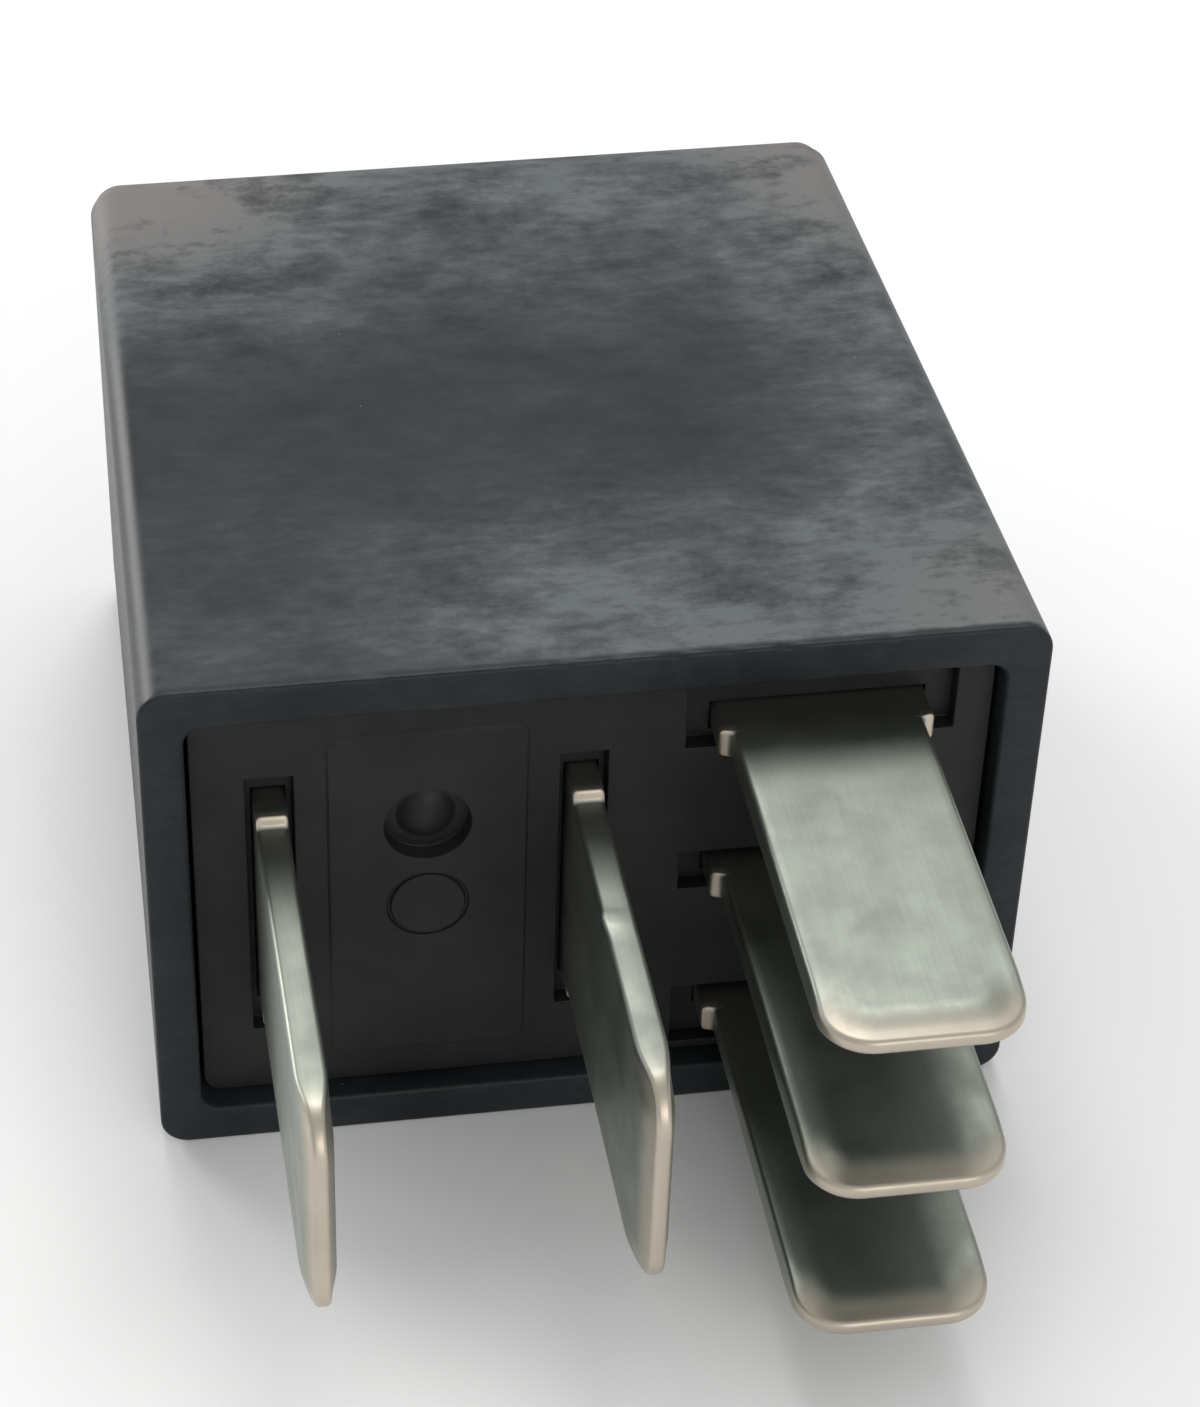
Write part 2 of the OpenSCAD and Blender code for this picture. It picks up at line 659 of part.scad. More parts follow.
module bobbin() {
    color(bobbin_white) laid_down() translate([core_x, 0, 0]) difference() {
        union() {
            translate([0, 0, bobbin_z]) cylinder(h = bobbin_top - bobbin_z, r = barrel_r);
            for (z = [bobbin_z, bobbin_top - flange_t])
                translate([0, 0, z]) round_plate(flange_w, flange_d, flange_corner_r, flange_t);
        }
        translate([0, 0, bobbin_z - eps]) cylinder(h = bobbin_top, r = core_r + bobbin_fit);
        // Rebate that clears the yoke's bend
        block([-flange_w / 2 - eps, -flange_d, bobbin_z - eps],
              [yoke_bend_r - flange_w / 2, flange_d, bobbin_z + yoke_bend_r]);
        // Notches at the edge of the lower flange, for the coil leads
        for (s = [-1, 1])
            translate([flange_w / 2, s * (flange_d / 2 - notch_in), bobbin_z - eps])
                cylinder(h = flange_t + 2 * eps, r = notch_r);
    }
}

barrel_r = core_r + bobbin_fit + barrel_wall;

module coil_winding() {
    low = bobbin_z + flange_t + bobbin_fit;
    high = bobbin_top - flange_t - bobbin_fit;
    edge = winding_edge_r;
    color(copper) laid_down() translate([core_x, 0, 0]) difference() {
        union() {
            translate([0, 0, low]) cylinder(h = high - low, r = winding_r - edge);
            translate([0, 0, low + edge]) cylinder(h = high - low - 2 * edge, r = winding_r);
            for (z = [low + edge, high - edge])
                translate([0, 0, z]) rotate_extrude() translate([winding_r - edge, 0]) circle(edge);
        }
        translate([0, 0, low - eps]) cylinder(h = high, r = barrel_r + hole_fit);
    }
}

// A coil lead leaves the winding along its tangent and ends at its post, inside the solder
lead_z = bobbin_z + flange_t + lead_up;
lead_away = winding_r + lead_r + hole_fit;
lead_aim = [post_x - post_w / 2 - hole_fit - core_x, stack_pitch];
lead_l = sqrt(lead_aim * lead_aim - lead_away * lead_away) - lead_r;

module lead_line(side) {
    angle = atan2(lead_aim.y, lead_aim.x) + acos(lead_away / norm(lead_aim));
    start = lead_away * [cos(angle), sin(angle)];
    scale([1, side, 1]) translate([core_x + start.x, start.y, lead_z])
        rotate([0, 90, atan2(lead_aim.y - start.y, lead_aim.x - start.x)]) children();
}

module coil_lead(side) {
    color(copper) laid_down() lead_line(side) cylinder(h = lead_l, r = lead_r);
}

module coil_lead_86() { coil_lead(-1); }
module coil_lead_85() { coil_lead(1); }

// A solder joint is a drop on the near side of the post, round the end of the lead
module solder_joint(side) {
    y = side * stack_pitch;
    gap = hole_fit / 2;
    color(contact_silver) laid_down() difference() {
        translate([post_x + post_w / 2 - hole_fit - solder_r, y, lead_z]) sphere(solder_r);
        block([post_x - post_w / 2 - gap, y - sheet_t / 2 - gap, lead_z - 2 * solder_r],
              [post_x + post_w / 2 + gap, y + sheet_t / 2 + gap, base_top + post_h + gap]);
        lead_line(side) cylinder(h = lead_l + gap, r = lead_r + gap);
    }
}

module solder_joint_86() { solder_joint(-1); }
module solder_joint_85() { solder_joint(1); }

// ---- armature and contacts ----

// Pieces of the armature are drawn attracted, flat on the pole, and then tipped open to rest
module released() {
    translate([yoke_x, 0, pivot_z]) rotate([0, -travel, 0]) translate([-yoke_x, 0, -pivot_z]) children();
}

heel_x = yoke_x + heel_in;
armature_end_x = core_x + pole_r + armature_over;

module armature() {
    low = pivot_z + stop_gap;
    color(iron) laid_down() released() difference() {
        intersection() {
            through_depth(-armature_d / 2, armature_d / 2) {
                translate([heel_x, low]) square([armature_end_x - heel_x, armature_t - heel_r]);
                translate([heel_x + heel_r, low]) square([armature_end_x - heel_x - heel_r, armature_t]);
                translate([heel_x + heel_r, low + armature_t - heel_r]) circle(heel_r);
            }
            translate([0, 0, low - eps]) linear_extrude(armature_t + 2 * eps)
                polygon([[heel_x, -armature_d / 2], [core_x, -armature_d / 2], [armature_end_x, -armature_end_d / 2],
                    [armature_end_x, armature_end_d / 2], [core_x, armature_d / 2], [heel_x, armature_d / 2]]);
        }
        at_armature_rivets() translate([0, 0, -eps]) cylinder(h = armature_t + 2 * eps, r = rivet_r + hole_fit);
    }
}

// The spring is drawn at rest. Its leg stands on the yoke, and its blade lies on the tipped armature.
leg_x = yoke_x - hole_fit - spring_t / 2;
blade_dir = [cos(travel), sin(travel)];
blade_up = left_of(blade_dir);
blade_h = spring_h + hole_fit + spring_t / 2;

// A point of the blade, at a distance s from the hinge and a height h above the blade's middle
function blade_point(s, h) = [yoke_x, pivot_z] + (blade_h + h) * blade_up + s * blade_dir;

// The spring's side view: up the leg, round the bend and out along the blade, and back inside
module spring_side(end) {
    t = spring_t / 2;
    mid_r = spring_bend_r + t;
    middle_x = leg_x + mid_r;
    middle_s = (middle_x - yoke_x - (blade_h - mid_r) * blade_up.x) / blade_dir.x;
    middle = blade_point(middle_s, -mid_r);
    foot_z = pivot_z - spring_leg;
    steps = 10;
    bend = [for (i = [0:steps]) 180 - (90 - travel) * i / steps];
    polygon(concat(
        [[leg_x - t, foot_z]],
        [for (a = bend) middle + (mid_r + t) * [cos(a), sin(a)]],
        [blade_point(end, t), blade_point(end, -t)],
        [for (i = [steps:-1:0]) middle + (mid_r - t) * [cos(bend[i]), sin(bend[i])]],
        [[leg_x + t, foot_z]]
    ));
}

module contact_spring() {
    wide_end_x = core_x + core_r / 2;
    back_x = leg_x - spring_t;
    spring_top = blade_h + spring_t + (contact_arm + spring_tip_r) * tan(travel);
    color(spring_bronze) laid_down() difference() {
        intersection() {
            through_depth(-spring_d / 2, spring_d / 2) spring_side(contact_arm + 2 * spring_tip_r);
            translate([0, 0, pivot_z - spring_leg - eps]) linear_extrude(spring_leg + spring_top + eps) {
                polygon([[back_x, -spring_d / 2], [wide_end_x, -spring_d / 2], [contact_x, -spring_tip_r],
                    [contact_x, spring_tip_r], [wide_end_x, spring_d / 2], [back_x, spring_d / 2]]);
                translate([contact_x, 0]) circle(spring_tip_r);
            }
        }
        block([back_x, -spring_window_d / 2, pivot_z - spring_window_l],
              [yoke_x + spring_window_l, spring_window_d / 2, pivot_z + spring_top]);
        at_yoke_rivets() cylinder(h = 2 * spring_t, r = rivet_r + hole_fit);
        released() {
            at_armature_rivets() cylinder(h = armature_t + 2 * spring_t, r = rivet_r + hole_fit);
            translate([contact_x, 0, pivot_z]) cylinder(h = spring_top, r = contact_shank_r + hole_fit);
        }
    }
}

// A contact head with a crowned face, its flat side on z = 0
module crowned_head(t) {
    intersection() {
        cylinder(h = t, r = contact_r);
        translate([0, 0, t - contact_crown_r]) sphere(contact_crown_r);
    }
}

module moving_contact() {
    under = pivot_z + spring_h + hole_fit;
    color(contact_silver) laid_down() released() translate([contact_x, 0, 0]) {
        translate([0, 0, under + spring_t + hole_fit]) crowned_head(moving_head_t - 2 * hole_fit);
        translate([0, 0, under - hole_fit]) cylinder(h = spring_t + 3 * hole_fit, r = contact_shank_r);
        translate([0, 0, under - hole_fit]) mirror([0, 0, 1]) crowned_head(moving_head_t);
    }
}

// A fixed contact rivet on a sheet whose contact side is at z = 0
module fixed_contact() {
    cylinder(h = fixed_head_t, r = contact_r + fixed_extra_r);
    translate([0, 0, -sheet_t - eps]) cylinder(h = sheet_t + 2 * eps, r = contact_shank_r);
    translate([0, 0, -sheet_t - contact_tail_t]) cylinder(h = contact_tail_t, r = contact_shank_r + contact_tail_extra);
}

module fixed_contact_no() {
    color(contact_silver) laid_down() translate([contact_x, 0, no_tab_z + sheet_t / 2]) fixed_contact();
}

module fixed_contact_nc() {
    color(contact_silver) laid_down() translate([contact_x, 0, nc_tab_z - sheet_t / 2])
        mirror([0, 0, 1]) fixed_contact();
}

// A rivet with its head on the spring and its flush end in the iron behind it
module spring_rivet(iron_t) {
    translate([0, 0, spring_t + 2 * hole_fit]) cylinder(h = rivet_head_t - 2 * hole_fit, r = rivet_head_r);
    translate([0, 0, -iron_t + hole_fit]) cylinder(h = iron_t + spring_t + 2 * hole_fit, r = rivet_r);
}

module armature_rivets() {
    color(tinned) laid_down() released() at_armature_rivets() translate([0, 0, armature_t]) spring_rivet(armature_t);
}

module yoke_rivets() {
    color(tinned) laid_down() at_yoke_rivets() spring_rivet(yoke_t);
}

cover();
base();
terminal_30();
terminal_87();
terminal_87a();
terminal_86();
terminal_85();
yoke();
core();
bobbin();
coil_winding();
coil_lead_86();
coil_lead_85();
solder_joint_86();
solder_joint_85();
armature();
contact_spring();
moving_contact();
fixed_contact_no();
fixed_contact_nc();
armature_rivets();
yoke_rivets();
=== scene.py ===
# %% [markdown]
# # A micro relay for a vehicle fuse box
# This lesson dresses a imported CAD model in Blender. The relay is a black moulded cover that lies on
# one of its large faces. A moulded base closes its open end, and five tinned blades stand out of it.
# The CAD model gives every size and place. Blender adds what a camera would see close up: soft
# edges, moulded grain, drawn metal, solder, and a winding with its turns.

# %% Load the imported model
import math

import bmesh
import bpy
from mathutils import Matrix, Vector, noise


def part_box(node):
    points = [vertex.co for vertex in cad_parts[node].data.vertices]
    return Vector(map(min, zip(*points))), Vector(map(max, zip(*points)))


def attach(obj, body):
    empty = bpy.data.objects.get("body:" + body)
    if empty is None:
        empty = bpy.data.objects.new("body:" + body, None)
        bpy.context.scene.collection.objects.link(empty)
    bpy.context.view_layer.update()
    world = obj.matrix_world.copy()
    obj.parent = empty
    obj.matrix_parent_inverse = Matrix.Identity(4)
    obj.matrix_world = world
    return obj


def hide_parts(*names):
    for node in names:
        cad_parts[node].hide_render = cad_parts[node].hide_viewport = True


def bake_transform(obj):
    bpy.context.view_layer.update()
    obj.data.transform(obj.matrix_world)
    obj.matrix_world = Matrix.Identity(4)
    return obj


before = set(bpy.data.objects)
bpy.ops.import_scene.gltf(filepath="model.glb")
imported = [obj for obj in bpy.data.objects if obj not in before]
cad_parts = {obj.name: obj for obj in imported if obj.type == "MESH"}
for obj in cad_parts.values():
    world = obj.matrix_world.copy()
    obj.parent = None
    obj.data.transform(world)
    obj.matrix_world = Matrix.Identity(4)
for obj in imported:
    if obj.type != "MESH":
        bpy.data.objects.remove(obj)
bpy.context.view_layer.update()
MM = 0.001

# %% [markdown]
# ## Camera
# The relay is a small thing held close, seen from above and from a little to its left. A long lens
# of 95 mm keeps the perspective of a hand-held close-up. The three angles are the tilt, the roll and
# the turn, and the small shift places the relay in the frame as a cropped picture would.

# %% Camera
camera_data = bpy.data.cameras.new("Camera")
camera_data.lens = 95
camera_data.shift_x = 0.0986
camera_data.shift_y = 0.0751
camera_data.clip_start = 0.005
camera = bpy.data.objects.new("Camera", camera_data)
camera.location = Vector((-13.42, -76.88, 68.90)) * MM
tilt, roll, turn = 50.45, -0.35, -7.87
camera.rotation_euler = [math.radians(a) for a in (tilt, roll, turn)]
bpy.context.scene.collection.objects.link(camera)
bpy.context.scene.camera = camera
rim_middle = Vector((0, -7, 7)) * MM
print("Camera looks at the rim from", round((camera.location - rim_middle).length / MM), "mm")

# %% [markdown]
# ## Light
# A plain studio with three soft lamps. The softbox hangs high behind the relay: it lights the upper
# face and leaves the open end dark, with crisp shadows at the blade roots. A window stands low at the
# back on the left and draws the long edge. A weak fill in front lifts the blade tips. The world is a
# plain light grey from all sides, and black plastic gets most of its sheen from it. Together they
# show a colour about as it is written.

# %% Light
scene = bpy.context.scene
scene.view_settings.view_transform = "Standard"


def lamp(name, place, size, power, colour):
    """A round softbox that points at the middle of the relay."""
    data = bpy.data.lights.new(name, "AREA")
    data.shape = "DISK"
    data.size = size
    data.energy = power
    data.color = colour
    made = bpy.data.objects.new(name, data)
    made.location = place
    made.rotation_euler = (-Vector(place)).to_track_quat("-Z", "Y").to_euler()
    scene.collection.objects.link(made)


lamp("Softbox", (0.03, 0.30, 0.52), 0.3, 1.1, (1, 0.99, 0.97))
lamp("Window", (-0.27, 0.35, 0.12), 0.2, 0.9, (1, 0.97, 0.93))
lamp("Fill", (0.12, -0.42, 0.20), 0.3, 0.5, (1, 0.95, 0.88))

world = bpy.data.worlds.new("Studio")
scene.world = world
world.use_nodes = True
background = world.node_tree.nodes["Background"]
background.inputs["Color"].default_value = (0.60, 0.61, 0.62, 1)

# %% [markdown]
# ## Node helpers
# Every finish below is a Principled shader with a few procedural layers. Small helpers keep the node
# code short: they add a node and wire it, start a finish, give a noise whose grain is in millimetres,
# remap it, blend two colours by it, or raise a relief. The noise reads object coordinates, so a
# finish stays on its piece.

# %% Node helpers
def add(material, kind, wires=None, **settings):
    made = material.node_tree.nodes.new("ShaderNode" + kind)
    for key, value in settings.items():
        setattr(made, key, value)
    for key, value in (wires or {}).items():
        if isinstance(value, bpy.types.NodeSocket):
            material.node_tree.links.new(value, made.inputs[key])
        else:
            made.inputs[key].default_value = value
    return made


def finish(name, colour, roughness, **constants):
    material = bpy.data.materials.new(name)
    material.use_nodes = True
    shader = material.node_tree.nodes["Principled BSDF"]
    shader.inputs["Base Color"].default_value = (*colour, 1)
    shader.inputs["Roughness"].default_value = roughness
    for key, value in constants.items():
        shader.inputs[key.replace("_", " ")].default_value = value
    return material, shader


def grain(material, size_mm, detail=4.0, rough=0.5, stretch=(1, 1, 1), seed=0.0):
    """A noise from 0 to 1 whose marks are about size_mm long, times stretch along each axis."""
    place = add(material, "TexCoord").outputs["Object"]
    scaled = add(material, "VectorMath", {0: place, 1: [1 / (MM * size_mm * s) for s in stretch]},
                 operation="MULTIPLY").outputs[0]
    return add(material, "TexNoise", {"Vector": scaled, "W": seed, "Scale": 1.0, "Detail": detail,
                                      "Roughness": rough}, noise_dimensions="4D").outputs["Fac"]


def remap(material, value, low, high, to_low=0.0, to_high=1.0):
    return add(material, "MapRange", {"Value": value, "From Min": low, "From Max": high,
                                      "To Min": to_low, "To Max": to_high}).outputs["Result"]


def blend_colour(material, share, first, second):
    mixed = add(material, "Mix", {"Factor": share}, data_type="RGBA")
    for socket, colour in ((mixed.inputs[6], first), (mixed.inputs[7], second)):
        if isinstance(colour, bpy.types.NodeSocket):
            material.node_tree.links.new(colour, socket)
        else:
            socket.default_value = (*colour, 1)
    return mixed.outputs[2]


def relief(material, shader, height, depth_mm, below=None):
    """Raises the surface by depth_mm where height is 1, on top of another relief."""
    wires = {"Height": height, "Distance": depth_mm * MM, "Strength": 1.0}
    if below is not None:
        wires["Normal"] = below
    made = add(material, "Bump", wires).outputs["Normal"]
    material.node_tree.links.new(made, shader.inputs["Normal"])
    return made


def wire(material, value, socket):
    material.node_tree.links.new(value, socket)


# %% [markdown]
# ## Floor
# The floor is a plain pale sheet, large enough to fill the view from every side. To the camera, and
# in mirror images, its colour is white, while it lights the relay from below as pale grey. It keeps
# the relay's soft shadow.

# %% Floor
def white_to_camera(tree, plain, white):
    """A switch from plain to white for the camera and for mirror images."""
    path = tree.nodes.new("ShaderNodeLightPath")
    total = path.outputs["Is Camera Ray"]
    for ray in ("Is Glossy Ray", "Is Transmission Ray"):
        either = tree.nodes.new("ShaderNodeMath")
        either.operation = "MAXIMUM"
        tree.links.new(total, either.inputs[0])
        tree.links.new(path.outputs[ray], either.inputs[1])
        total = either.outputs[0]
    switch = tree.nodes.new("ShaderNodeMix")
    switch.data_type = "RGBA"
    tree.links.new(total, switch.inputs["Factor"])
    switch.inputs[6].default_value = (*plain, 1)
    switch.inputs[7].default_value = (*white, 1)
    return switch.outputs[2]


floor_half = 2.0
pale_grey, white = (0.8, 0.8, 0.8), (1, 1, 1)
floor_mesh = bpy.data.meshes.new("Floor")
corners = [(x * floor_half, y * floor_half, 0) for x, y in ((-1, -1), (1, -1), (1, 1), (-1, 1))]
floor_mesh.from_pydata(corners, [], [(0, 1, 2, 3)])
floor = bpy.data.objects.new("Floor", floor_mesh)
scene.collection.objects.link(floor)
floor_material, floor_shader = finish("Pale floor", pale_grey, 0.9)
wire(floor_material, white_to_camera(floor_material.node_tree, pale_grey, white),
     floor_shader.inputs["Base Color"])
floor_mesh.materials.append(floor_material)

# %% [markdown]
# ## Making a piece
# Two ways of making a mesh are used here. The pieces that show most are lofted: closed loops of
# points lie one behind the other, and quads join each loop to the next. The others start as a copy
# of their CAD solid. Its triangles are joined back into flat faces, and every sharp edge is rounded a
# little, because no real edge is perfectly sharp.

# %% Making a piece
def to_object(name, work, material, slot, *nodes, body="relay", sharp=40):
    """Turns a bmesh into a piece that rides on its body and stands for its CAD nodes."""
    bmesh.ops.recalc_face_normals(work, faces=work.faces)
    for face in work.faces:
        face.smooth = True
    mesh = bpy.data.meshes.new(name)
    work.to_mesh(mesh)
    work.free()
    mesh.set_sharp_from_angle(angle=math.radians(sharp))
    mesh.materials.append(material)
    piece = bpy.data.objects.new(name, mesh)
    scene.collection.objects.link(piece)
    flat = piece.modifiers.new("Flat faces stay flat", "WEIGHTED_NORMAL")
    flat.keep_sharp = True
    if body:
        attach(piece, body)
    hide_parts(*nodes)
    print(f"{name}: {len(mesh.polygons)} faces")
    return piece


def smooth_step(value, low, high):
    share = min(1, max(0, (value - low) / (high - low)))
    return share * share * (3 - 2 * share)


def joined_faces(node):
    """The CAD solid's mesh, with its triangles joined into flat faces."""
    work = bmesh.new()
    work.from_mesh(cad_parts[node].data)
    bmesh.ops.remove_doubles(work, verts=work.verts, dist=0.0002 * MM)
    bmesh.ops.dissolve_limit(work, angle_limit=math.radians(0.3), verts=work.verts, edges=work.edges)
    return work


def soften(work, width_mm, segments=2, angle=28):
    """Rounds each edge that is sharper than the angle."""
    edges = [e for e in work.edges if len(e.link_faces) == 2 and e.calc_face_angle() > math.radians(angle)]
    bmesh.ops.bevel(work, geom=edges, offset=width_mm * MM, offset_type="OFFSET", segments=segments,
                    profile=0.5, affect="EDGES", clamp_overlap=False)
    return work


def refined(name, node, material, slot, width_mm=0.05, segments=2, **options):
    return to_object(name, soften(joined_faces(node), width_mm, segments), material, slot, node, **options)


def loft(work, loops, closed=True):
    """Joins loops of points, in millimetres, with quads. Returns the loops of vertices."""
    made = [[work.verts.new(Vector(p) * MM) for p in loop] for loop in loops]
    for first, second in zip(made, made[1:]):
        count = len(first)
        for i in range(count if closed else count - 1):
            j = (i + 1) % count
            work.faces.new((first[i], first[j], second[j], second[i]))
    return made


# %% [markdown]
# ## Finishes
# Black moulded plastic, tinned metal, iron, nylon, copper, bronze and silver: each gets its own grain
# at its own scale.

# %% Black plastics
def black_plastic(name, colour, roughness, gloss):
    """Black plastic with faint flow clouds and a moulded grain."""
    material, shader = finish(name, colour, roughness, Specular_IOR_Level=gloss)
    clouds = grain(material, 4, 5, 0.62)
    lighter = [1.9 * c for c in colour]
    tone = blend_colour(material, remap(material, clouds, 0.36, 0.66), colour, lighter)
    wire(material, tone, shader.inputs["Base Color"])
    wire(material, remap(material, clouds, 0.3, 0.7, roughness + 0.06, roughness - 0.06),
         shader.inputs["Roughness"])
    texture = relief(material, shader, grain(material, 0.12, 2, 0.5, seed=3), 0.003)
    relief(material, shader, clouds, 0.02, texture)
    return material, shader, tone


base_plastic = black_plastic("base_plastic", (0.011, 0.011, 0.0112), 0.5, 0.28)[0]

# %% [markdown]
# The cover is handled, so a dull haze of dust and finger marks lies on it. A painted sheen is mixed
# into that haze: a lighter tone that stands in for light reflected off the upper face. Both are thicker
# towards the edges of its upper face than in the middle. Where they lie is written into the mesh as an
# attribute, so that the finish can read it. Two noises break them up: soft clouds, and short streaks
# where something wiped across. A few pale specks of dust lie on top.

# %% Cover plastic
cover_plastic, cover_shader, cover_tone = black_plastic("cover_plastic", (0.0085, 0.0105, 0.0130), 0.42, 0.20)
# This attribute marks real dust together with a painted sheen, a lighter tone standing in for light reflected
# off the upper face.
dust_and_sheen_map = add(cover_plastic, "Attribute", attribute_name="dust_and_sheen").outputs["Fac"]
clouds = grain(cover_plastic, 2.2, 7, 0.72, (1.3, 1, 1), seed=7)
streaks = grain(cover_plastic, 0.35, 4, 0.7, (3, 1, 1), seed=8)
broken = add(cover_plastic, "Math", {0: remap(cover_plastic, clouds, 0.33, 0.67, 0.15, 1.85),
                                     1: remap(cover_plastic, streaks, 0.3, 0.7, 0.55, 1.45)},
             operation="MULTIPLY").outputs[0]
dust_and_sheen = add(cover_plastic, "Math", {0: dust_and_sheen_map, 1: broken}, operation="MULTIPLY").outputs[0]
# The colours of the dust and painted sheen: cool where it is thin, warm where it is thick.
cool_dust_and_sheen, thick_dust_and_sheen = (0.130, 0.146, 0.150), (0.205, 0.194, 0.188)
dust_and_sheen_tone = blend_colour(cover_plastic, remap(cover_plastic, dust_and_sheen_map, 0.6, 1.0), cool_dust_and_sheen, thick_dust_and_sheen)
tone = blend_colour(cover_plastic, remap(cover_plastic, dust_and_sheen, 0.0, 0.8), cover_tone, dust_and_sheen_tone)
specks = remap(cover_plastic, grain(cover_plastic, 0.3, 1, 0.5, seed=11), 0.80, 0.83)
speck_colour = (0.26, 0.28, 0.28)
tone = blend_colour(cover_plastic, specks, tone, speck_colour)
wire(cover_plastic, tone, cover_shader.inputs["Base Color"])
wire(cover_plastic, remap(cover_plastic, dust_and_sheen, 0, 0.8, 0.38, 0.6), cover_shader.inputs["Roughness"])

# %% [markdown]
# The metals share one recipe. Rolling and drawing leave fine lines along one axis, so a noise is
# stretched along it, and blotches of duller metal lie over that. The lines also raise a very low
# relief. On the blades a second, pinkish colour shows where the mesh marks it. At the cut shoulders it
# is bare metal. At the coined tips and their end faces it is a painted reflection and highlight.

# %% Metals
def drawn_metal(name, colour, dull, roughness, along, grain_mm=0.05, stretch=60, bare_and_reflection=None):
    """Rolled or drawn metal: fine lines along one axis over blotches of duller metal."""
    material, shader = finish(name, colour, roughness, Metallic=1.0)
    pull = [1, 1, 1]
    pull[along] = stretch
    lines = grain(material, grain_mm, 3, 0.6, pull)
    blotches = grain(material, 1.6, 4, 0.6, seed=4)
    tone = blend_colour(material, remap(material, blotches, 0.35, 0.68), colour, dull)
    tone = blend_colour(material, remap(material, lines, 0.3, 0.75, 0, 0.35), tone, [0.7 * c for c in dull])
    # A second colour where the mesh marks it. It is bare metal in some places and a painted reflection and
    # highlight in others.
    if bare_and_reflection:
        bare_and_reflection_share = add(material, "Attribute", attribute_name="bare_and_reflection").outputs["Fac"]
        tone = blend_colour(material, bare_and_reflection_share, tone, bare_and_reflection)
    wire(material, tone, shader.inputs["Base Color"])
    wire(material, remap(material, blotches, 0.3, 0.7, roughness - 0.06, roughness + 0.08),
         shader.inputs["Roughness"])
    relief(material, shader, lines, 0.0012)
    return material


# The tin's second colour is pinkish: bare metal on the cut shoulders, and a painted reflection and highlight
# on the coined tips.
tinned_blade = drawn_metal("tinned_blade", (0.32, 0.35, 0.305), (0.265, 0.285, 0.25), 0.43, 1,
                           bare_and_reflection=(0.60, 0.52, 0.43))
iron = drawn_metal("iron", (0.42, 0.42, 0.42), (0.30, 0.30, 0.29), 0.38, 1)
spring_bronze = drawn_metal("spring_bronze", (0.62, 0.40, 0.20), (0.50, 0.31, 0.16), 0.3, 0)
rivet_steel = drawn_metal("rivet_steel", (0.48, 0.48, 0.47), (0.36, 0.36, 0.35), 0.33, 2, stretch=4)
contact_silver = drawn_metal("contact_silver", (0.80, 0.79, 0.75), (0.58, 0.55, 0.48), 0.28, 2, stretch=1)
solder = drawn_metal("solder", (0.66, 0.66, 0.65), (0.52, 0.52, 0.51), 0.22, 2, 0.2, 1)

# %% [markdown]
# Natural nylon is milky, so it lets a little light in below its surface. Enamelled copper is the
# metal recipe again, in a warm colour and smoother.

# %% Nylon and copper
bobbin_plastic, nylon_shader = finish("bobbin_plastic", (0.74, 0.72, 0.64), 0.42, Subsurface_Weight=0.08)
nylon_shader.inputs["Subsurface Scale"].default_value = 0.4 * MM
flow = grain(bobbin_plastic, 3, 3, 0.5)
wire(bobbin_plastic, blend_colour(bobbin_plastic, flow, (0.78, 0.76, 0.68), (0.68, 0.65, 0.56)),
     nylon_shader.inputs["Base Color"])
relief(bobbin_plastic, nylon_shader, grain(bobbin_plastic, 0.15, 2), 0.003)

enamelled_copper = drawn_metal("enamelled_copper", (0.60, 0.22, 0.09), (0.46, 0.15, 0.06), 0.24, 2, 0.4, 1)

# %% [markdown]
# ## Cover
# The cover is moulded in one shot: thin walls that lean in towards the closed end, soft upright
# corners, and a rounded far edge behind a shallow bevel. It could be a box with bevel modifiers, but
# the corner radius grows along the cover, so it is lofted from rounded rectangles instead. The loops
# start at the closed end's inside, run out over the rim and back along the outside.
#
# Two things make it look moulded rather than drawn. The large faces sink in by a few hundredths of a
# millimetre, as plastic does when it cools. And the rim's outer edge carries small nicks.

# %% Cover sizes
cover_low, cover_high = (Vector(c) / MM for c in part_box("cover"))
rim_y, end_y = cover_low.y, cover_high.y
half_w, half_d = cover_high.x, (cover_high.z - cover_low.z) / 2
middle_z = cover_low.z + half_d
cover_h = end_y - rim_y
cover_draft = 0.4
cover_wall = 1.1
cover_end = 1.1
rim_corner_r, end_corner_r, cavity_corner_r = 0.75, 0.8, 0.5
end_edge_r = 0.4
end_bevel_l, end_bevel_in = 0.4, 0.1
rim_edge_r = 0.1
face_sink = 0.05


def lean(h):
    return cover_draft * h / cover_h


# %% Cover loops
SIDE_STEPS, END_STEPS, CORNER_STEPS = 110, 60, 10


def rounded_rectangle(half_x, half_z, r, y):
    """A closed loop round the relay at y: four corners, and even steps along the straight sides."""
    loop = []
    for quarter, (sx, sz) in enumerate(((1, 1), (-1, 1), (-1, -1), (1, -1))):
        cx, cz = sx * (half_x - r), sz * (half_z - r)
        for i in range(CORNER_STEPS + 1):
            a = math.radians(90 * (quarter + i / CORNER_STEPS))
            loop.append((cx + r * math.cos(a), y, middle_z + cz + r * math.sin(a)))
        steps = SIDE_STEPS if quarter % 2 == 0 else END_STEPS
        run = Vector((-2 * sx * (half_x - r), 0, 0) if quarter % 2 == 0 else (0, 0, -2 * sz * (half_z - r)))
        start = Vector(loop[-1])
        loop.extend(tuple(start + run * k / steps) for k in range(1, steps))
    return loop


def outside(h, bevel=0.0, edge=0.0):
    """The cover's outside at height h above the rim, taken in by a bevel and a rounded edge."""
    r = rim_corner_r + (end_corner_r - rim_corner_r) * h / cover_h
    inset = lean(h) + bevel + edge
    return rounded_rectangle(half_w - inset, half_d - inset, r - edge, rim_y + h)


